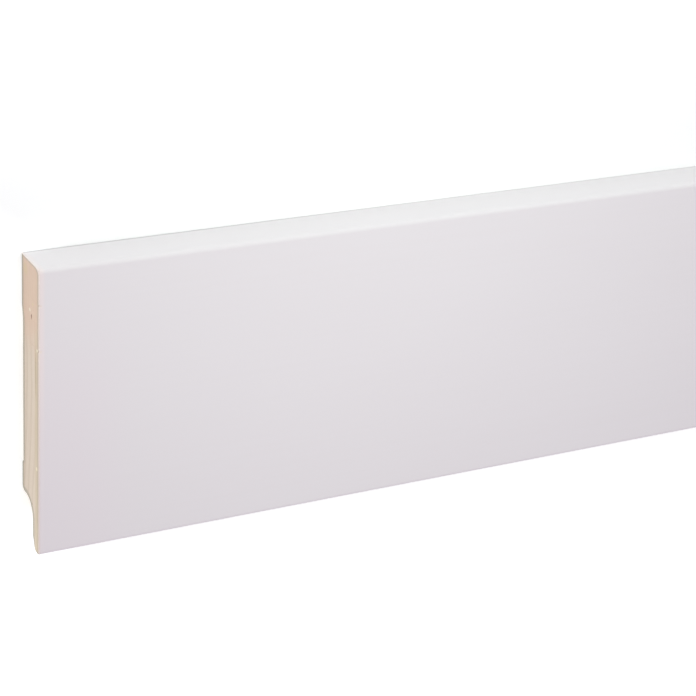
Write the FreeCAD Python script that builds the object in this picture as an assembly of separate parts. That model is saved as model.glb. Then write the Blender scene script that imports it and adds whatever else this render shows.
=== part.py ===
import FreeCAD, Part
import math
import os

# A straight length of painted pine skirting board, one moulded piece, in millimetres.
# It lies on its back. X runs along the length, Y points to the top edge of the fitted board,
# and Z points out of its front face. The origin is the middle of the back, on the plane of
# the two lands that touch the wall.

# Overall size of the stock
LENGTH = 2400.0
HEIGHT = 95.0
THICKNESS = 15.0

# Eased arrises of the top edge and of the foot
TOP_FRONT_RADIUS = 1.5
TOP_BACK_RADIUS = 0.4
FOOT_FRONT_RADIUS = 1.6

# Relief planed into the back, so that only an upper and a lower land touch an uneven wall
UPPER_LAND = 16.5
LOWER_LAND = 9.7
RELIEF_DEPTH = 0.9
RELIEF_RAMP = 4.0
RELIEF_RAMP_RADIUS = 4.0
RELIEF_STEP = 0.8

# Rebate behind the foot, which hides cables and the gap at the floor's edge
REBATE_HEIGHT = 16.2
REBATE_MOUTH_RADIUS = 1.9
REBATE_ROOF_RADIUS = 6.0
LIP_THICKNESS = 5.8

# Heel of the lip, where its back tapers and rounds off towards the floor
HEEL_HEIGHT = 4.8
HEEL_TAPER = 1.7
HEEL_RADIUS = 2.2

# Shortest straight run between two arcs that is drawn as an edge
SHORTEST_RUN = 1e-4


def section_corners():
    """Corners of the moulded section, each as height over the floor, depth from the wall, radius."""
    rebate_depth = THICKNESS - LIP_THICKNESS
    ramp_start = HEIGHT - UPPER_LAND
    step_end = REBATE_HEIGHT + LOWER_LAND
    front = [
        (0.0, THICKNESS, FOOT_FRONT_RADIUS),
        (HEIGHT, THICKNESS, TOP_FRONT_RADIUS),
        (HEIGHT, 0.0, TOP_BACK_RADIUS),
    ]
    relief = [
        (ramp_start, 0.0, RELIEF_RAMP_RADIUS),
        (ramp_start - RELIEF_RAMP, RELIEF_DEPTH, RELIEF_RAMP_RADIUS),
        (step_end + RELIEF_STEP, RELIEF_DEPTH, 0.0),
        (step_end, 0.0, 0.0),
    ]
    rebate = [
        (REBATE_HEIGHT, 0.0, REBATE_MOUTH_RADIUS),
        (REBATE_HEIGHT, rebate_depth, REBATE_ROOF_RADIUS),
        (HEEL_HEIGHT, rebate_depth, 0.0),
        (0.0, rebate_depth + HEEL_TAPER, HEEL_RADIUS),
    ]
    return front + relief + rebate


def arc_setbacks(points, radii):
    """How far each corner's arc starts from its corner, shortened where two arcs would meet."""
    count = len(points)
    turns = []
    for i in range(count):
        arriving = points[i] - points[i - 1]
        leaving = points[(i + 1) % count] - points[i]
        turns.append(arriving.getAngle(leaving))
    wanted = [radius * math.tan(turn / 2) for radius, turn in zip(radii, turns)]
    shares = []
    for i in range(count):
        side = (points[(i + 1) % count] - points[i]).Length
        needed = wanted[i] + wanted[(i + 1) % count]
        shares.append(min(1.0, side / needed) if needed > 0 else 1.0)
    setbacks = [wanted[i] * min(shares[i - 1], shares[i]) for i in range(count)]
    return setbacks, turns


def rounded_outline(corners):
    """Closed wire of straight runs and tangent arcs through the given corners."""
    points = [FreeCAD.Vector(0, height, depth) for height, depth, radius in corners]
    radii = [radius for height, depth, radius in corners]
    setbacks, turns = arc_setbacks(points, radii)
    count = len(points)
    edges = []
    for i in range(count):
        corner = points[i]
        following = points[(i + 1) % count]
        arriving = (corner - points[i - 1]).normalize()
        leaving = (following - corner).normalize()
        if setbacks[i] > 0:
            radius = setbacks[i] / math.tan(turns[i] / 2)
            inward = (leaving - arriving).normalize()
            depth = radius * (1 / math.cos(turns[i] / 2) - 1)
            start = corner - arriving * setbacks[i]
            end = corner + leaving * setbacks[i]
            edges.append(Part.Arc(start, corner + inward * depth, end).toShape())
        run_start = corner + leaving * setbacks[i]
        run_end = following - leaving * setbacks[(i + 1) % count]
        if (run_end - run_start).Length > SHORTEST_RUN:
            edges.append(Part.LineSegment(run_start, run_end).toShape())
    return Part.Wire(edges)


def skirting_board():
    """The moulded section run out to the full length and sawn square at both ends."""
    section = Part.Face(rounded_outline(section_corners()))
    board = section.extrude(FreeCAD.Vector(LENGTH, 0, 0))
    board.translate(FreeCAD.Vector(-LENGTH / 2, -HEIGHT / 2, 0))
    return board


board = skirting_board()
section_area = board.Volume / LENGTH
print("section area", round(section_area, 2), "mm2, volume", round(board.Volume, 1), "mm3")
print("valid", board.isValid(), "solids", len(board.Solids), "faces", len(board.Faces))

os.makedirs("parts", exist_ok=True)
board.exportStep("parts/skirting_board.step")
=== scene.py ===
# %% [markdown]
# # A length of painted skirting board
#
# The object is one straight length of pine skirting board: a planed section with a rounded top
# edge, a relieved back and a rebate behind its foot, sprayed white at the factory and then sawn
# square at both ends. The file model.glb holds the CAD model of it. This script makes a finer mesh
# of the same board, gives it its finishes (white paint, the planed bare back, the sawn ends and the
# cut edge of the paint), and sets it in a plain studio. Sizes are written in millimetres, as on a
# workshop drawing, and turned into metres where the mesh is made.

# %% Load the imported board
import math

import bmesh
import bpy
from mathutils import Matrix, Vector


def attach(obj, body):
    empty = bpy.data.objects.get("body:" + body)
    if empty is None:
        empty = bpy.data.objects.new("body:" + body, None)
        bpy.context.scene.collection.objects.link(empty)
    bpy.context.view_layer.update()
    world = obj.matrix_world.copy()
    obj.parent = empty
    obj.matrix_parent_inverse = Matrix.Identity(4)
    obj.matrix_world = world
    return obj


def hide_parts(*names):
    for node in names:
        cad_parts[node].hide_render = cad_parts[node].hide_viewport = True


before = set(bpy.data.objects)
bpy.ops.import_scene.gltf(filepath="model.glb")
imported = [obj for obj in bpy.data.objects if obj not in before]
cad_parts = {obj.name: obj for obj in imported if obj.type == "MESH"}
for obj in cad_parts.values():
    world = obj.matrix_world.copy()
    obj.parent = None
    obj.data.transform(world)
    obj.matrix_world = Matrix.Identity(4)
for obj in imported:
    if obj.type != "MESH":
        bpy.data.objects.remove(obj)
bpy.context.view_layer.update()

MM = 0.001

# %% [markdown]
# ## The section
#
# A moulder's drawing gives the section by its corners and by the radius that eases each of them.
# The outline could be written as a long list of points round every arc. It is kept as the drawing
# has it instead: eleven corners, each with its height over the floor, its depth from the wall, the
# radius of its arris and the number of facets that the arc gets.

# %% The section's corners
LENGTH = 2400.0
HEIGHT = 95.0
THICKNESS = 15.0
FOOT = -HEIGHT / 2

REBATE_HEIGHT = 16.2
REBATE_DEPTH = 9.2
REBATE_ROOF_RADIUS = 6.0
RELIEF_DEPTH = 0.9
RELIEF_LOW, RELIEF_HIGH = 26.7, 74.5
HEEL_HEIGHT = 4.8
HEEL_TOE = 10.9
FOOT_ARRIS, TOP_ARRIS, BACK_ARRIS = 1.6, 1.5, 0.4
REBATE_MOUTH_RADIUS, HEEL_RADIUS = 1.9, 2.2
RAMP_RUN, RAMP_RADIUS = 4.0, 4.0
STEP_RUN = 0.8

corners = (
    # height over the floor, depth from the wall, radius, facets
    (0.0, THICKNESS, FOOT_ARRIS, 10),
    (HEIGHT, THICKNESS, TOP_ARRIS, 12),
    (HEIGHT, 0.0, BACK_ARRIS, 6),
    (RELIEF_HIGH + RAMP_RUN, 0.0, RAMP_RADIUS, 4),
    (RELIEF_HIGH, RELIEF_DEPTH, RAMP_RADIUS, 4),
    (RELIEF_LOW, RELIEF_DEPTH, 0.0, 0),
    (RELIEF_LOW - STEP_RUN, 0.0, 0.0, 0),
    (REBATE_HEIGHT, 0.0, REBATE_MOUTH_RADIUS, 10),
    (REBATE_HEIGHT, REBATE_DEPTH, REBATE_ROOF_RADIUS, 18),
    (HEEL_HEIGHT, REBATE_DEPTH, 0.0, 0),
    (0.0, HEEL_TOE, HEEL_RADIUS, 10),
)
print("corners on the drawing:", len(corners))

# %% [markdown]
# ## Planing the section
#
# The corners become one flat face at the left end. In the editor one would select a corner and
# bevel it with the vertices option, and the script does the same: the distance along both sides is
# radius times the tangent of half the turn, which is where an arc of that radius leaves a straight
# side. Then the face is extruded to the full length, as the board leaves the moulder.

# %% Helpers that draw, round and run out the section
def at(height, depth, x=-LENGTH / 2):
    """A point of the drawing, as metres in the row frame."""
    return Vector((x, height - HEIGHT / 2, depth)) * MM


def half_turn(before, here, after):
    """Half of the angle by which the outline turns at a corner."""
    return (here - before).angle(after - here) / 2


def drawn_section(bm):
    """The section's face, its sharp corners rounded one by one."""
    points = [at(height, depth) for height, depth, _, _ in corners]
    verts = [bm.verts.new(point) for point in points]
    bm.faces.new(verts)
    for i, (_, _, radius, facets) in enumerate(corners):
        if not facets:
            continue
        turn = half_turn(points[i - 1], points[i], points[(i + 1) % len(points)])
        bmesh.ops.bevel(
            bm, geom=[verts[i]], offset=radius * MM * math.tan(turn), offset_type="OFFSET",
            segments=facets, profile=0.5, affect="VERTICES", material=-1,
        )
    return bm.faces[:][0]


def run_out(bm, face):
    """The section becomes the board."""
    swept = bmesh.ops.extrude_face_region(bm, geom=[face])
    far_end = [part for part in swept["geom"] if isinstance(part, bmesh.types.BMVert)]
    bmesh.ops.translate(bm, verts=far_end, vec=(LENGTH * MM, 0, 0))
    bmesh.ops.recalc_face_normals(bm, faces=bm.faces[:])


# %% The planed board
board = bmesh.new()
run_out(board, drawn_section(board))
print("volume", round(board.calc_volume() / MM**3, 1), "mm3, faces", len(board.faces))

# %% [markdown]
# ## Sawing and handling
#
# The saw leaves a square end, but nobody meets a truly sharp one: the outline is eased by a few
# tenths. Two knocks at the left end have taken crumbs of paint and wood off its front edge, and
# the end grain has a short open check. These could be painted on as bump, but bump leaves the
# outline whole. Here a few planes cut the mesh finer round each spot, and the points that lie
# inside the mark are pushed in. The cuts are coplanar with the faces they cross, so they don't
# show.

# %% Cuts round the marks
# SAWN and TOUCHING are in metres: the end's place, and how near counts as on the cut
SAWN = LENGTH / 2 * MM
TOUCHING = 1e-7
CRUMBLE_ZONE = 0.9
knocks = (
    # name, height over the floor, depth, reach, how far in from the end, how far in from the front
    ("nick", 68.8, THICKNESS, 0.60, 0.30, 0.20),
    ("pinhole", 83.4, THICKNESS, 0.50, 0.30, 0.20),
)
CHECK_LOW, CHECK_HIGH, CHECK_DEPTH = 76.7, 78.4, 8.5
CHECK_HALF_WIDTH, CHECK_GOES_IN = 0.30, 1.4
STEPS_CUT = 3


def parts_of(faces):
    """The faces with their edges and points, which is what an operator asks for."""
    edges = {e for f in faces for e in f.edges}
    verts = {v for f in faces for v in f.verts}
    return list(verts) + list(edges) + list(faces)


def near_left_end(bm, within):
    """The faces that lie whole within so many millimetres of the left end."""
    limit = within * MM - SAWN + TOUCHING
    return [f for f in bm.faces if all(v.co.x < limit for v in f.verts)]


def cut(bm, faces, point, normal):
    """One plane cut through the given faces."""
    bmesh.ops.bisect_plane(
        bm, geom=parts_of(faces), dist=TOUCHING, plane_co=point, plane_no=normal)


cut(board, board.faces[:], at(0, 0, CRUMBLE_ZONE - LENGTH / 2), (1, 0, 0))
for _, height, depth, reach, _, _ in knocks:
    for step in range(-STEPS_CUT, STEPS_CUT + 1):
        level = at(height + step * reach / STEPS_CUT, depth)
        cut(board, near_left_end(board, CRUMBLE_ZONE), level, (0, 1, 0))
for height in (CHECK_LOW, (CHECK_LOW + CHECK_HIGH) / 2, CHECK_HIGH):
    cut(board, near_left_end(board, 0), at(height, CHECK_DEPTH), (0, 1, 0))
for aside in (-CHECK_HALF_WIDTH, 0, CHECK_HALF_WIDTH):
    cut(board, near_left_end(board, 0), at(CHECK_LOW, CHECK_DEPTH + aside), (0, 0, 1))
print("faces after the cuts:", len(board.faces))

# %% The eased outline, the knocks and the check
END_EASE = 0.35
SAME_POINT = 0.05
AT_END = 1e-6
FACES_SIDEWAYS = 0.5
board.normal_update()
outline = [
    e for e in board.edges
    if all(abs(abs(v.co.x) - SAWN) < AT_END for v in e.verts)
    and any(abs(f.normal.x) < FACES_SIDEWAYS for f in e.link_faces)
]
eased = bmesh.ops.bevel(
    board, geom=outline, offset=END_EASE * MM, offset_type="OFFSET", segments=2, profile=0.5,
    affect="EDGES", material=-1, clamp_overlap=False,
)
print("outline edges eased:", len(outline), "new faces:", len(eased["faces"]))

for what, height, depth, reach, along, inward in knocks:
    moved = 0
    for v in board.verts:
        away = (v.co - at(height, depth)).length / (reach * MM)
        if away < 1:
            v.co += Vector((along, 0, -inward)) * (1 - away**2) * MM
            moved += 1
    print(what, "moves", moved, "points")
deepest = at((CHECK_LOW + CHECK_HIGH) / 2, CHECK_DEPTH)
for v in board.verts:
    if (v.co - deepest).length < SAME_POINT * MM:
        v.co.x += CHECK_GOES_IN * MM
        print("check opened")

# %% [markdown]
# ## Finishes on the faces
#
# The spray booth paints what it can reach with the board on its back: the front, both front
# arrises, the top edge and the foot's flat. The back, the rebate and the heel stay bare, and the
# saw opens the end grain and leaves a rim of cut paint round it. In the editor one would select
# faces and assign a slot to them. Here each face is told which finish it wears by where it lies and
# which way it looks, so the borders hold when a size of the section changes.

# %% Sort the faces
PAINT, BACK, END, RIM = range(4)
PAINTED_FROM = 12.3
SPRAY_WRAPS = 0.42
RIM_WIDTH = 0.5
SQUARE_TO_END, LEANS_TO_END = 0.97, 0.05
board.normal_update()


def finish_of(face):
    """The finish that a face wears, from its middle and its direction."""
    middle = face.calc_center_median() / MM
    height, depth = middle.y - FOOT, middle.z
    sprayed = depth > PAINTED_FROM or height > HEIGHT - SPRAY_WRAPS
    if abs(face.normal.x) > SQUARE_TO_END:
        return END
    if abs(face.normal.x) > LEANS_TO_END:
        coated = depth > THICKNESS - RIM_WIDTH or height > HEIGHT - RIM_WIDTH
        return RIM if coated else END
    return PAINT if sprayed else BACK


for face in board.faces:
    face.material_index = finish_of(face)
    face.smooth = face.material_index != END
titles = {PAINT: "painted", BACK: "bare back", END: "sawn", RIM: "paint's cut edge"}
for finish, title in titles.items():
    area = sum(f.calc_area() for f in board.faces if f.material_index == finish)
    print(title, "area", round(area / MM**2, 1), "mm2")

# %% [markdown]
# ## The finished mesh
#
# The arcs should shade as round and the flats as flat. Smooth shading with sharp edges above an
# angle does the first, and the Weighted Normal modifier does the second: it lets the big flat faces
# decide the shading, so the narrow facets beside them don't bend the light on the front.

# %% The finished mesh
SHARP_FROM = math.radians(15)
mesh = bpy.data.meshes.new("painted_board")
board.to_mesh(mesh)
closed = all(len(e.link_faces) == 2 for e in board.edges)
print("closed", closed, "volume", round(board.calc_volume() / MM**3, 1), "mm3")
board.free()
mesh.set_sharp_from_angle(angle=SHARP_FROM)
painted_board = bpy.data.objects.new("painted_board", mesh)
bpy.context.scene.collection.objects.link(painted_board)
flats = painted_board.modifiers.new("flat faces stay flat", "WEIGHTED_NORMAL")
flats.keep_sharp = True
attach(painted_board, "root")
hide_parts("skirting_board")

# %% [markdown]
# ## Helpers for materials
#
# Every finish here is a small recipe of nodes. In the editor one would add and wire them by hand;
# these helpers do the same in one line each. All the patterns are solid: they are worked out from
# the place inside the board, in millimetres, so a growth ring that leaves the end carries on along
# the back.

# %% Helpers that add, fill and wire nodes
def fill(tree, sockets, values):
    """Each socket gets its value: an output is wired in, a number or vector is typed in."""
    for socket, value in zip(sockets, values):
        if isinstance(value, bpy.types.NodeSocket):
            tree.links.new(value, socket)
        else:
            socket.default_value = value


def add(tree, kind, **inputs):
    """A node with its inputs filled by name."""
    node = tree.nodes.new(kind)
    fill(tree, [node.inputs[name] for name in inputs], inputs.values())
    return node


def sum_of(tree, operation, *values):
    """A Math node's result."""
    node = tree.nodes.new("ShaderNodeMath")
    node.operation = operation
    fill(tree, node.inputs, values)
    return node.outputs[0]


def vector(tree, operation, *values, scale=None):
    """A Vector Math node's result: a number for a length or distance, else a vector."""
    node = tree.nodes.new("ShaderNodeVectorMath")
    node.operation = operation
    fill(tree, node.inputs, values)
    if scale is not None:
        node.inputs["Scale"].default_value = scale
    return node.outputs["Value" if operation in ("LENGTH", "DISTANCE") else "Vector"]


# %% Helpers for steps, noise, tints and relief
def between(tree, value, low, high, to_low=0.0, to_high=1.0):
    """A smooth step: to_low up to low, to_high from high on."""
    node = tree.nodes.new("ShaderNodeMapRange")
    node.interpolation_type = "SMOOTHSTEP"
    names = ("Value", "From Min", "From Max", "To Min", "To Max")
    fill(tree, [node.inputs[name] for name in names], (value, low, high, to_low, to_high))
    return node.outputs["Result"]


def cloud(tree, place, size, stretch=(1, 1, 1), detail=2.0, rough=0.5):
    """Noise whose blobs are about size millimetres, drawn out along an axis by stretch."""
    scaled = vector(tree, "MULTIPLY", place, tuple(1 / (size * s) for s in stretch))
    noise = add(
        tree, "ShaderNodeTexNoise", Vector=scaled, Scale=1.0, Detail=detail, Roughness=rough)
    return noise.outputs["Fac"]


def blend_colour(tree, share, first, second):
    """Two colours mixed by a share."""
    node = tree.nodes.new("ShaderNodeMix")
    node.data_type = "RGBA"
    colours = [(*value, 1.0) if isinstance(value, tuple) else value for value in (first, second)]
    fill(tree, (node.inputs[0], node.inputs[6], node.inputs[7]), (share, *colours))
    return node.outputs[2]


def axes(tree, place):
    """Where a place lies along the board, up its face and through its thickness."""
    apart = add(tree, "ShaderNodeSeparateXYZ", Vector=place)
    return apart.outputs["X"], apart.outputs["Y"], apart.outputs["Z"]


def relief(tree, height, depth, below=None):
    """Bump of a real depth in millimetres, laid over an earlier one."""
    node = add(tree, "ShaderNodeBump", Height=height, Distance=depth * MM, Strength=1.0)
    if below is not None:
        tree.links.new(below, node.inputs["Normal"])
    return node.outputs["Normal"]


# %% A new finish
def new_finish(name):
    """An empty material, with its shader and its places in millimetres."""
    material = bpy.data.materials.new(name)
    material.use_nodes = True
    tree = material.node_tree
    shader = tree.nodes["Principled BSDF"]
    where = add(tree, "ShaderNodeTexCoord").outputs["Object"]
    place = vector(tree, "SCALE", where, scale=1 / MM)
    print("new finish:", name)
    return material, tree, shader, place


# %% [markdown]
# ## White paint
#
# Factory paint on softwood is satin, not plastic. Sprayed paint dries with a fine orange peel, and
# after some weeks the long fibres below print through as faint lengthwise streaks. Both are only
# thousandths of a millimetre deep, so they belong in the bump and the gloss. The white is a little
# uneven too, since a sprayed coat is not equally thick everywhere. It has a faint blush over the
# last few centimetres, and it is warm beside the saw cut, where resin and primer shine through.
# Along the back of the top edge, where the board meets the floor, it is greyer: painted shade.
# These tints could be separate faces with a colour of their own, but a border would show, so they
# are soft steps over the distance from the end and from the wall.

# %% White paint: the coat
PAINT_WHITE = (0.803, 0.778, 0.795)
PAINT_THIN = (0.795, 0.768, 0.785)
PAINT_OVER_FIBRES = (0.77, 0.74, 0.74)

white_paint, tree, shader, place = new_finish("satin_white_paint")
coat = cloud(tree, place, 60, (3, 1, 1), detail=3)
streaks = cloud(tree, place, 1.1, (90, 1, 1), detail=3)
peel = cloud(tree, place, 0.9, detail=1.5)
unevenness = between(tree, coat, 0.3, 0.7)
colour = blend_colour(tree, unevenness, PAINT_WHITE, PAINT_THIN)
fibres_show = between(tree, streaks, 0.35, 0.75, 0.0, 0.10)
colour = blend_colour(tree, fibres_show, colour, PAINT_OVER_FIBRES)
print("the coat takes", len(tree.nodes), "nodes")

# %% White paint: the tints beside the saw cut, and painted shade beside the wall
PAINT_BLUSH = (0.803, 0.762, 0.786)
PAINT_AT_SAW = (0.868, 0.772, 0.760)
# painted shade: the greyer paint along the back of the top edge, where the board meets the floor
PAINT_SHADE_AT_BACK = (0.590, 0.570, 0.585)
BLUSH_FADES = 12, 34
SAW_WARMTH_FADES = 0.6, 2.4
PAINTED_SHADE_FADES = 0.5, 1.4

along, up, through = axes(tree, place)
from_end = sum_of(tree, "SUBTRACT", LENGTH / 2, sum_of(tree, "ABSOLUTE", along))
blush = between(tree, from_end, *BLUSH_FADES, 1.0, 0.0)
blush = sum_of(tree, "MULTIPLY", blush, between(tree, up, 5, 30, 1.0, 0.2))
colour = blend_colour(tree, blush, colour, PAINT_BLUSH)
warmed = between(tree, from_end, *SAW_WARMTH_FADES, 1.0, 0.0)
warmed = sum_of(tree, "MULTIPLY", warmed, between(tree, up, -20, 25, 0.15, 0.8))
on_front = between(tree, through, THICKNESS - 2, THICKNESS, 0.5, 1.0)
warmed = sum_of(tree, "MULTIPLY", warmed, on_front)
colour = blend_colour(tree, warmed, colour, PAINT_AT_SAW)
# painted shade along the back of the top edge, strongest near the ends
back_edge_shade = between(tree, through, *PAINTED_SHADE_FADES, 1.0, 0.0)
back_edge_shade = sum_of(tree, "MULTIPLY", back_edge_shade, between(tree, from_end, 50, 130, 1.0, 0.35))
colour = blend_colour(tree, back_edge_shade, colour, PAINT_SHADE_AT_BACK)
tree.links.new(colour, shader.inputs["Base Color"])
print("with its tints", len(tree.nodes), "nodes")

# %% White paint: gloss, orange peel and fibres
gloss = sum_of(tree, "MULTIPLY_ADD", peel, 0.10, 0.36)
tree.links.new(gloss, shader.inputs["Roughness"])
shader.inputs["IOR"].default_value = 1.5
bump = relief(tree, streaks, 0.006)
bump = relief(tree, peel, 0.004, bump)
tree.links.new(bump, shader.inputs["Normal"])
painted_board.data.materials.append(white_paint)
print("white paint:", len(tree.nodes), "nodes in all")

# %% [markdown]
# ## The growth rings
#
# This board was cut well away from the middle of the trunk: on its end the rings are wide arcs
# about a heart that lies behind the wall side. A wood grain could be drawn with Blender's Wave
# texture, but its bands are all alike. Here the distance from the heart is divided by the ring
# spacing, and each ring pales through its spring wood and darkens towards its summer wood, ending
# sharply where the next spring begins. The heart wanders slowly along the trunk, which gives the
# back its pointed arches.

# %% Rings, shared by the end and the back
HEART_UP, HEART_BEHIND = 4.0, -200.0
RING_WIDTH = 3.8
SUMMER_STARTS, SUMMER_FULL, AUTUMN = 0.45, 0.93, 0.94


def shifted(tree, place, finer, detail, most):
    """A soft random shift of a place, by up to half of most in millimetres."""
    noise = add(tree, "ShaderNodeTexNoise", Vector=vector(tree, "MULTIPLY", place, finer),
                Scale=1.0, Detail=detail)
    around_nought = vector(tree, "SUBTRACT", noise.outputs["Color"], (0.5, 0.5, 0.5))
    return vector(tree, "MULTIPLY", around_nought, most)


def ring_pattern(tree, place):
    """How far each point has come through its year's ring, from 0 in spring to 1 in autumn."""
    sway = shifted(tree, place, (1 / 700, 0, 0), 1.0, (0, 24, 26))
    ripple = shifted(tree, place, (1 / 90, 1 / 16, 1 / 16), 2.0, (0, 2.4, 2.4))
    inside = vector(tree, "ADD", vector(tree, "ADD", place, sway), ripple)
    from_heart = vector(tree, "SUBTRACT", inside, (0, HEART_UP, HEART_BEHIND))
    across = vector(tree, "MULTIPLY", from_heart, (0, 1, 1))
    years = sum_of(tree, "DIVIDE", vector(tree, "LENGTH", across), RING_WIDTH)
    return sum_of(tree, "FRACT", years)


def summer_wood(tree, year):
    """The dark share of a ring: nothing in spring, full just before the ring ends."""
    rising = between(tree, year, SUMMER_STARTS, SUMMER_FULL)
    falling = between(tree, year, AUTUMN, 1.0, 1.0, 0.0)
    return sum_of(tree, "MULTIPLY", rising, falling)


print("rings across the board's thickness:", round(THICKNESS / RING_WIDTH, 1))

# %% [markdown]
# ## Sawn end grain
#
# A crosscut blade leaves wide shallow arcs across the end and a fuzz of cut fibres. A pinkish patch
# fills the upper quarter, the wood yellows towards the front, and near the outline it goes greyer,
# with a dark line beside the painted edge. Along the wall side, the rebate and the foot, where the
# end meets the floor and turns from the light, it is darker still: painted shade. At the front
# and the top a thread of paint has crept round the corner. An image could carry all of this, but a
# pattern of distances stays sharp at any size: the colour is built from the rings, then the patch,
# the edges by how far each point lies from the outline, the blade's arcs, the fuzz and a few
# single flecks.

# %% Sawn end grain: the colour
SPRING_END = (0.720, 0.630, 0.517)
SUMMER_END = (0.655, 0.565, 0.447)
PATCH_PINK = (0.720, 0.547, 0.421)
FRONT_YELLOW = (0.613, 0.533, 0.374)
FRONT_ZONE = 10.5, 12.8
PATCH_FROM, PATCH_FULL, PATCH_RAGGED = HEIGHT - 24, HEIGHT - 10, 14.0

sawn_end, tree, shader, place = new_finish("sawn_end_grain")
summer = summer_wood(tree, ring_pattern(tree, place))
colour = blend_colour(tree, summer, SPRING_END, SUMMER_END)

_, up, depth = axes(tree, place)
height = sum_of(tree, "ADD", up, HEIGHT / 2)

front_zone = between(tree, depth, *FRONT_ZONE)
colour = blend_colour(tree, sum_of(tree, "MULTIPLY", front_zone, 0.8), colour, FRONT_YELLOW)
ragged = sum_of(tree, "MULTIPLY_ADD", cloud(tree, place, 7), PATCH_RAGGED, height)
patch = between(tree, ragged, PATCH_FROM, PATCH_FULL)
colour = blend_colour(tree, sum_of(tree, "MULTIPLY", patch, 0.8), colour, PATCH_PINK)
print("rings, front zone and patch:", len(tree.nodes), "nodes")

# %% Sawn end grain: how far each point lies from the outline
# The bands beside the paint turn the top corner in an arc of this radius. A squeeze counts a
# distance so many times, which makes the bands along the top and the foot that much narrower.
CORNER_CREEP = 4.5
TOP_SQUEEZE, FOOT_SQUEEZE = 2.0, 2.5


def excess(tree, value, over):
    """How much a value is over a limit, and 0 below it."""
    return sum_of(tree, "MAXIMUM", sum_of(tree, "SUBTRACT", value, over), 0.0)


def diagonal(tree, first, second):
    """The long side of a right triangle."""
    squares = [sum_of(tree, "POWER", side, 2.0) for side in (first, second)]
    return sum_of(tree, "SQRT", sum_of(tree, "ADD", *squares))


from_front = sum_of(tree, "SUBTRACT", THICKNESS, depth)
from_top = sum_of(tree, "SUBTRACT", HEIGHT, height)
below_ramp = between(tree, height, RELIEF_HIGH, RELIEF_HIGH + RAMP_RUN, 1.0, 0.0)
above_step = between(tree, height, RELIEF_LOW - STEP_RUN, RELIEF_LOW)
relieved = sum_of(tree, "MULTIPLY", below_ramp, above_step)
from_back = sum_of(tree, "MULTIPLY_ADD", relieved, -RELIEF_DEPTH, depth)
over_rebate = excess(tree, height, REBATE_HEIGHT - REBATE_ROOF_RADIUS)
past_rebate = excess(tree, depth, REBATE_DEPTH - REBATE_ROOF_RADIUS)
from_roof_centre = diagonal(tree, over_rebate, past_rebate)
from_rebate = sum_of(tree, "SUBTRACT", from_roof_centre, REBATE_ROOF_RADIUS)
short_front = excess(tree, CORNER_CREEP, from_front)
short_top = excess(tree, CORNER_CREEP, sum_of(tree, "MULTIPLY", from_top, TOP_SQUEEZE))
from_paint = sum_of(tree, "SUBTRACT", CORNER_CREEP, diagonal(tree, short_front, short_top))
from_foot = sum_of(tree, "MULTIPLY", height, FOOT_SQUEEZE)
wall_side = sum_of(tree, "MINIMUM", sum_of(tree, "MINIMUM", from_back, from_rebate), from_foot)
from_outline = sum_of(tree, "MINIMUM", from_paint, wall_side)
print("with the distances:", len(tree.nodes), "nodes")

# %% Sawn end grain: the edges
EDGE_GREY = (0.565, 0.495, 0.405)
EDGE_DARK = (0.52, 0.44, 0.35)
# the next colour is painted shade along the wall side, the rebate and the foot
SHADE_AT_WALL_SIDE = (0.455, 0.435, 0.362)
CREPT_PAINT = (0.84, 0.77, 0.73)
edges = (
    # measured from, full up to, gone from, share, colour
    (from_outline, 0.2, 2.8, 0.6, EDGE_GREY),
    (from_paint, 1.1, 1.9, 0.75, EDGE_DARK),
    # painted shade along the wall side, the rebate and the foot
    (wall_side, 1.3, 2.2, 0.85, SHADE_AT_WALL_SIDE),
    (from_paint, 0.2, 0.7, 0.9, CREPT_PAINT),
)
for measured, full, gone, share, tint in edges:
    colour = blend_colour(tree, between(tree, measured, full, gone, share, 0.0), colour, tint)
print("bands along the outline:", len(edges))

# %% Sawn end grain: the blade's arcs and the fuzz
BLADE_CENTRE = (0, 20.0, -150.0)
ARCS_PER_MM = 1.3
FUZZ_SHADE = (0.50, 0.40, 0.29)
ARC_SHADE = (0.56, 0.46, 0.34)

fuzz = cloud(tree, place, 0.35, detail=3, rough=0.65)
blade = vector(tree, "DISTANCE", vector(tree, "MULTIPLY", place, (0, 1, 1)), BLADE_CENTRE)
rub = add(tree, "ShaderNodeTexNoise", Scale=1.0, Detail=2.0)
rub.noise_dimensions = "1D"
tree.links.new(sum_of(tree, "MULTIPLY", blade, ARCS_PER_MM), rub.inputs["W"])
arcs = rub.outputs["Fac"]
colour = blend_colour(tree, between(tree, fuzz, 0.52, 0.80, 0.0, 0.30), colour, FUZZ_SHADE)
colour = blend_colour(tree, between(tree, arcs, 0.35, 0.75, 0.0, 0.22), colour, ARC_SHADE)
print("with the blade's arcs and the fuzz:", len(tree.nodes), "nodes")

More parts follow.
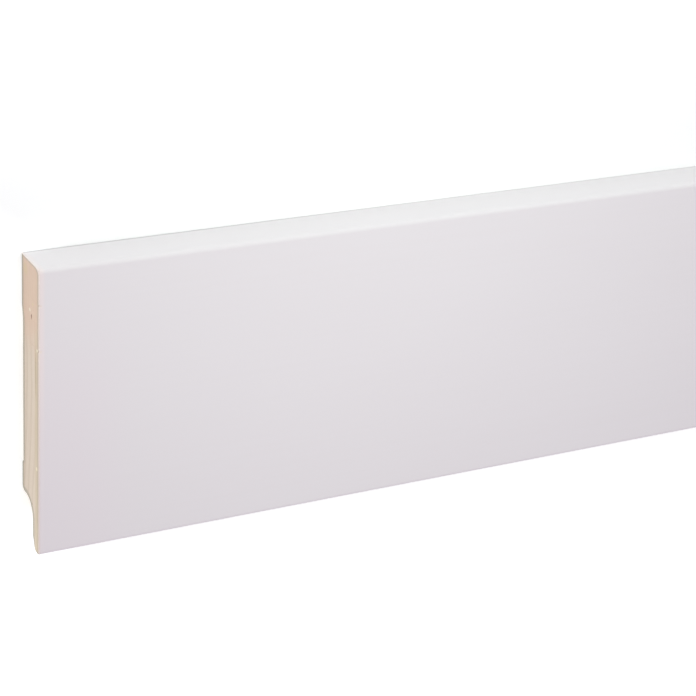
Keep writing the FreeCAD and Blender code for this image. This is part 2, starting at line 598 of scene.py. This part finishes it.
# %% Sawn end grain: the flecks
flecks = (
    # height over the floor, depth from the wall, half its height, half its width, colour
    (91.0, 3.6, 2.20, 1.90, (0.69, 0.56, 0.38)),
    (79.4, 7.2, 0.65, 0.75, (0.84, 0.76, 0.62)),
    (82.1, 9.9, 0.60, 0.60, (0.70, 0.58, 0.38)),
    # painted shade: this dark fleck fills the open check
    (77.50, 8.5, 0.85, 0.36, (0.40, 0.24, 0.19)),
    (68.6, 13.2, 0.50, 0.80, (0.80, 0.74, 0.58)),
    (60.5, 12.2, 8.50, 0.35, (0.46, 0.37, 0.24)),
    (29.2, 12.9, 0.70, 0.70, (0.84, 0.77, 0.58)),
    (15.3, 8.8, 0.45, 0.45, (0.34, 0.27, 0.21)),
)
for level, inwards, half_height, half_width, tint in flecks:
    spot = (-LENGTH / 2, level - HEIGHT / 2, inwards)
    scaled = (1.0, 1 / half_height, 1 / half_width)
    offset = vector(tree, "MULTIPLY", vector(tree, "SUBTRACT", place, spot), scaled)
    away = vector(tree, "LENGTH", offset)
    ragged = sum_of(tree, "MULTIPLY_ADD", fuzz, 0.8, away)
    colour = blend_colour(tree, between(tree, ragged, 0.9, 1.6, 0.85, 0.0), colour, tint)
tree.links.new(colour, shader.inputs["Base Color"])
print("flecks:", len(flecks))

# %% Sawn end grain: dull, with the blade's and the fibres' relief
shader.inputs["Roughness"].default_value = 0.78
shader.inputs["IOR"].default_value = 1.4
bump = relief(tree, arcs, 0.03)
bump = relief(tree, fuzz, 0.03, bump)
bump = relief(tree, summer, 0.02, bump)
tree.links.new(bump, shader.inputs["Normal"])
print("sawn end grain:", len(tree.nodes), "nodes in all")

# %% [markdown]
# ## The bare back
#
# The wall side leaves the planer without paint. It shows the same rings cut lengthwise, short dark
# dashes where resin runs, fine fibres and the faint cross ripple of the turning knives. A little
# spray drifts round the top edge and the heel and fades out there. A picture of a planed board
# could be stretched along it, but its rings would not meet the ones on the end. Here the end's own
# ring pattern is read again, so every ring runs on round the corner.

# %% Bare pine: rings, fibres and resin
SPRING_LONG = (0.770, 0.645, 0.490)
SUMMER_LONG = (0.600, 0.430, 0.265)
FIBRE_SHADE = (0.56, 0.43, 0.29)
WARM_STREAK = (0.74, 0.58, 0.42)
RESIN = (0.33, 0.21, 0.12)

bare_pine, tree, shader, place = new_finish("bare_pine")
summer = summer_wood(tree, ring_pattern(tree, place))
fibres = cloud(tree, place, 0.3, (60, 1, 1), detail=3)
tone = cloud(tree, place, 45, (6, 1, 1))
colour = blend_colour(tree, summer, SPRING_LONG, SUMMER_LONG)
colour = blend_colour(tree, between(tree, fibres, 0.3, 0.8, 0.0, 0.30), colour, FIBRE_SHADE)
colour = blend_colour(tree, between(tree, tone, 0.35, 0.7, 0.0, 0.35), colour, WARM_STREAK)
dashes = cloud(tree, place, 0.55, (14, 1, 1), detail=0)
resin = sum_of(tree, "MULTIPLY", between(tree, dashes, 0.70, 0.78), between(tree, summer, 0.1, 0.5))
colour = blend_colour(tree, sum_of(tree, "MULTIPLY", resin, 0.6), colour, RESIN)
print("the wood takes", len(tree.nodes), "nodes")

# %% Bare pine: the drifted spray
TOP_MIST_GROWS = HEIGHT - 1.6, HEIGHT + 1.0
HEEL_MIST_FADES = -0.4, 3.2
TOP_MIST_RAGGED, HEEL_MIST_RAGGED = 2.4, -2.0

along, up, _ = axes(tree, place)
height = sum_of(tree, "ADD", up, HEIGHT / 2)
puffs = cloud(tree, place, 2.5, (3, 1, 1), detail=3)
drift = sum_of(tree, "MULTIPLY_ADD", puffs, TOP_MIST_RAGGED, height)
top_mist = between(tree, drift, *TOP_MIST_GROWS)
puffs = cloud(tree, place, 2.2, (3, 1, 1), detail=3)
drop = sum_of(tree, "MULTIPLY_ADD", puffs, HEEL_MIST_RAGGED, height)
heel_mist = between(tree, drop, *HEEL_MIST_FADES, 1.0, 0.0)
mist = sum_of(tree, "MAXIMUM", top_mist, heel_mist)
colour = blend_colour(tree, mist, colour, PAINT_WHITE)
tree.links.new(colour, shader.inputs["Base Color"])
print("with the spray", len(tree.nodes), "nodes")

# %% Bare pine: the knives' ripple and the fibres' relief
KNIFE_STEP = 1.7

rough = sum_of(tree, "MULTIPLY_ADD", fibres, 0.15, 0.50)
tree.links.new(rough, shader.inputs["Roughness"])
knives = sum_of(tree, "SINE", sum_of(tree, "MULTIPLY", along, 2 * math.pi / KNIFE_STEP))
bump = relief(tree, knives, 0.003)
bump = relief(tree, fibres, 0.02, bump)
bump = relief(tree, summer, 0.015, bump)
tree.links.new(bump, shader.inputs["Normal"])
painted_board.data.materials.append(bare_pine)
painted_board.data.materials.append(sawn_end)
print("bare pine:", len(tree.nodes), "nodes in all")

# %% [markdown]
# ## The paint's cut edge
#
# Where the saw went through the coat, a narrow rim of primer and paint is left along the front
# and the top of each end. It could be a thin stripe in the paint's own recipe, but the eased
# outline already gives it faces of its own, so it is a finish for those few faces: creamier than
# the paint and a little broken. It is paler than the paint too, most of all near the top, which is
# a painted highlight, and it darkens down by the foot, which is painted shade.

# %% Primer and paint, cut through
COAT_HIGHLIT_AT_TOP = (0.885, 0.83, 0.795)
COAT_AT_FRONT = (0.87, 0.785, 0.73)
COAT_CRUMBS = (0.80, 0.69, 0.61)
COAT_SHADED_BY_FOOT = (0.77, 0.68, 0.66)

cut_coat_with_painted_light, tree, shader, place = new_finish("cut_coat_with_painted_light")
crumbs = cloud(tree, place, 0.5, detail=3, rough=0.6)
_, up, depth = axes(tree, place)
at_front = between(tree, depth, THICKNESS - 1.5, THICKNESS - 0.5)
# painted highlight: the rim is paler than the paint, palest towards the top
colour = blend_colour(tree, at_front, COAT_HIGHLIT_AT_TOP, COAT_AT_FRONT)
colour = blend_colour(tree, between(tree, crumbs, 0.45, 0.75, 0.0, 0.6), colour, COAT_CRUMBS)
# painted shade: the rim darkens towards the foot
colour = blend_colour(tree, between(tree, up, -30, 25, 0.8, 0.0), colour, COAT_SHADED_BY_FOOT)
tree.links.new(colour, shader.inputs["Base Color"])
tree.links.new(sum_of(tree, "MULTIPLY_ADD", crumbs, 0.2, 0.42), shader.inputs["Roughness"])
tree.links.new(relief(tree, crumbs, 0.02), shader.inputs["Normal"])
painted_board.data.materials.append(cut_coat_with_painted_light)
print("cut coat:", len(tree.nodes), "nodes in all")

# %% [markdown]
# ## Floor and light
#
# The board lies on a plain pale table that glows, as a light table does, so the ground stays white.
# The glow is weak right beside the board, where it would light the edges from below, and stronger
# further off. The board also shades the table along its foot and beside the left end. More lamps
# could lift that shade, but they would flatten the board too, so the table glows a little more in
# those two places, with soft borders that fade out away from the board.
#
# The room is one even soft light. A long softbox beyond the top edge stands in for a window and
# draws the bright line along the front arris. A broad one stands off each end and lights the sawn
# wood. A small lamp over the left end gives the front its slow fall of brightness, and a long low
# row of lamps goes on from it, so the rest of the board is as pale from any other side.

# %% The table
TABLE_HALF_SIZE = 20.0
TABLE_WHITE = (0.92, 0.92, 0.92, 1)

table = bpy.data.meshes.new("pale_table")
sheet = bmesh.new()
bmesh.ops.create_grid(sheet, x_segments=1, y_segments=1, size=TABLE_HALF_SIZE)
sheet.to_mesh(table)
sheet.free()
pale_table = bpy.data.objects.new("pale_table", table)
bpy.context.scene.collection.objects.link(pale_table)
pale, tree, shader, place = new_finish("pale_table_top")
shader.inputs["Base Color"].default_value = TABLE_WHITE
shader.inputs["Roughness"].default_value = 0.9
shader.inputs["Specular IOR Level"].default_value = 0.0
print("table:", 2 * TABLE_HALF_SIZE, "m square")

# %% The table's glow
GLOW, GLOW_AT_FOOT, GLOW_AT_END, GLOW_AFAR = 0.13, 0.26, 0.36, 0.41
GLOW_COLOUR, GLOW_COLOUR_AT_END = (0.92, 1.0, 0.98), (0.88, 0.97, 0.97)
GLOW_GROWS = 5, 120
LIFT_FADES = 60, 320
LIFT_FANS_OUT = 1.0
# where each of the lift's soft sides starts, and how far it takes to fade out beside the board
LIFT_PAST_FOOT = FOOT, 12
LIFT_PAST_END = -LENGTH / 2, 15
LIFT_SHORT_OF_TOP = HEIGHT / 2 - 6.5, 18

table_x, table_y, _ = axes(tree, place)


def soft_side(tree, coordinate, edge, width, aside):
    """1 below the edge and 0 past width: the step gets softer the further aside a place lies."""
    spread = sum_of(tree, "MULTIPLY_ADD", aside, LIFT_FANS_OUT, width)
    run = sum_of(tree, "DIVIDE", sum_of(tree, "SUBTRACT", coordinate, edge), spread)
    return between(tree, run, 0, 1, 1.0, 0.0)


aside_x = excess(tree, sum_of(tree, "ABSOLUTE", table_x), LENGTH / 2)
aside_y = excess(tree, sum_of(tree, "ABSOLUTE", table_y), HEIGHT / 2)
off_board = add(tree, "ShaderNodeCombineXYZ", X=aside_x, Y=aside_y).outputs["Vector"]
off_board = vector(tree, "LENGTH", off_board)
close_by = between(tree, off_board, *LIFT_FADES, 1.0, 0.0)
past_foot = soft_side(tree, table_y, *LIFT_PAST_FOOT, aside_x)
past_foot = sum_of(tree, "MULTIPLY", past_foot, close_by)
past_end = soft_side(tree, table_x, *LIFT_PAST_END, aside_y)
past_end = sum_of(tree, "MULTIPLY", past_end, close_by)
short_of_top = soft_side(tree, table_y, *LIFT_SHORT_OF_TOP, aside_x)
glow = between(tree, off_board, *GLOW_GROWS, GLOW, GLOW + GLOW_AFAR)
glow = sum_of(tree, "MULTIPLY_ADD", past_foot, GLOW_AT_FOOT, glow)
by_end = sum_of(tree, "MULTIPLY", past_end, short_of_top)
glow = sum_of(tree, "MULTIPLY_ADD", by_end, GLOW_AT_END, glow)
tree.links.new(glow, shader.inputs["Emission Strength"])
glow_colour = blend_colour(tree, by_end, GLOW_COLOUR, GLOW_COLOUR_AT_END)
tree.links.new(glow_colour, shader.inputs["Emission Color"])
table.materials.append(pale)
print("its glow:", len(tree.nodes), "nodes")

# %% The room's light
ROOM_COLOUR = (0.984, 0.913, 1.0, 1)
ROOM_STRENGTH = 0.644

scene = bpy.context.scene
scene.view_settings.view_transform = "Standard"
world = bpy.data.worlds.new("soft_room")
scene.world = world
world.use_nodes = True
room = world.node_tree.nodes["Background"]
room.inputs["Color"].default_value = ROOM_COLOUR
room.inputs["Strength"].default_value = ROOM_STRENGTH
print("room:", world.name, "at strength", ROOM_STRENGTH)

# %% The softboxes
def softbox(name, place, aim, size, power, colour):
    """A rectangular soft light that hangs at place and looks at aim."""
    lamp = bpy.data.lights.new(name, "AREA")
    lamp.shape = "RECTANGLE"
    lamp.size, lamp.size_y = size
    lamp.energy = power
    lamp.color = colour
    box = bpy.data.objects.new(name, lamp)
    box.location = place
    box.rotation_euler = (Vector(aim) - Vector(place)).to_track_quat("-Z", "Y").to_euler()
    box.visible_camera = False
    scene.collection.objects.link(box)
    return box


LOW_COLOUR = (0.897, 1.0, 0.922)
WINDOW_COLOUR = (0.746, 1.0, 0.759)
END_COLOUR = (1.0, 0.70, 0.48)
low_lamps = (
    # name, middle along the board and length in metres, power in watts
    ("near_softbox", -1.095, 0.13, 0.195),
    ("row_softbox", 0.195, 2.03, 0.774),
)
for name, middle, long, power in low_lamps:
    low_lamp = softbox(
        name, (middle, 0.10, 0.24), (middle, 0.06, 0), (long, 0.10), power, LOW_COLOUR)
    low_lamp.visible_glossy = False
softbox("window_side", (0.0, 1.8, 0.97), (0.0, 0.05, 0.01), (4.4, 0.5), 10.6, WINDOW_COLOUR)
for name, side in (("left_softbox", -1), ("right_softbox", 1)):
    softbox(name, (2.9 * side, 0.25, 0.75), (1.2 * side, 0, 0), (1.0, 0.8), 2.0, END_COLOUR)

# %% [markdown]
# ## Camera
#
# The camera stands where the photograph was taken, as worked out from the board's own straight
# edges: it looks down on the left end with a long lens. A Track To constraint could aim it, but
# that sets the roll by itself, so the place is given in metres and the three turns in degrees.

# %% The photographer's place
CAMERA_PLACE = (-1.400327, 0.285177, 0.562828)
CAMERA_TURN = (-25.73579, -27.49619, 3.73938)
LENS, SENSOR = 111.461, 36.0

camera_data = bpy.data.cameras.new("camera")
camera_data.lens = LENS
camera_data.sensor_width = SENSOR
camera_data.clip_start = 0.01
camera = bpy.data.objects.new("camera", camera_data)
camera.location = CAMERA_PLACE
camera.rotation_euler = [math.radians(angle) for angle in CAMERA_TURN]
scene.collection.objects.link(camera)
scene.camera = camera
to_end = (camera.location - at(HEIGHT, THICKNESS)).length
print("camera:", round(to_end, 2), "m from the left end's top corner")

# %% [markdown]
# ## The end

# %% The end
print("scene built")
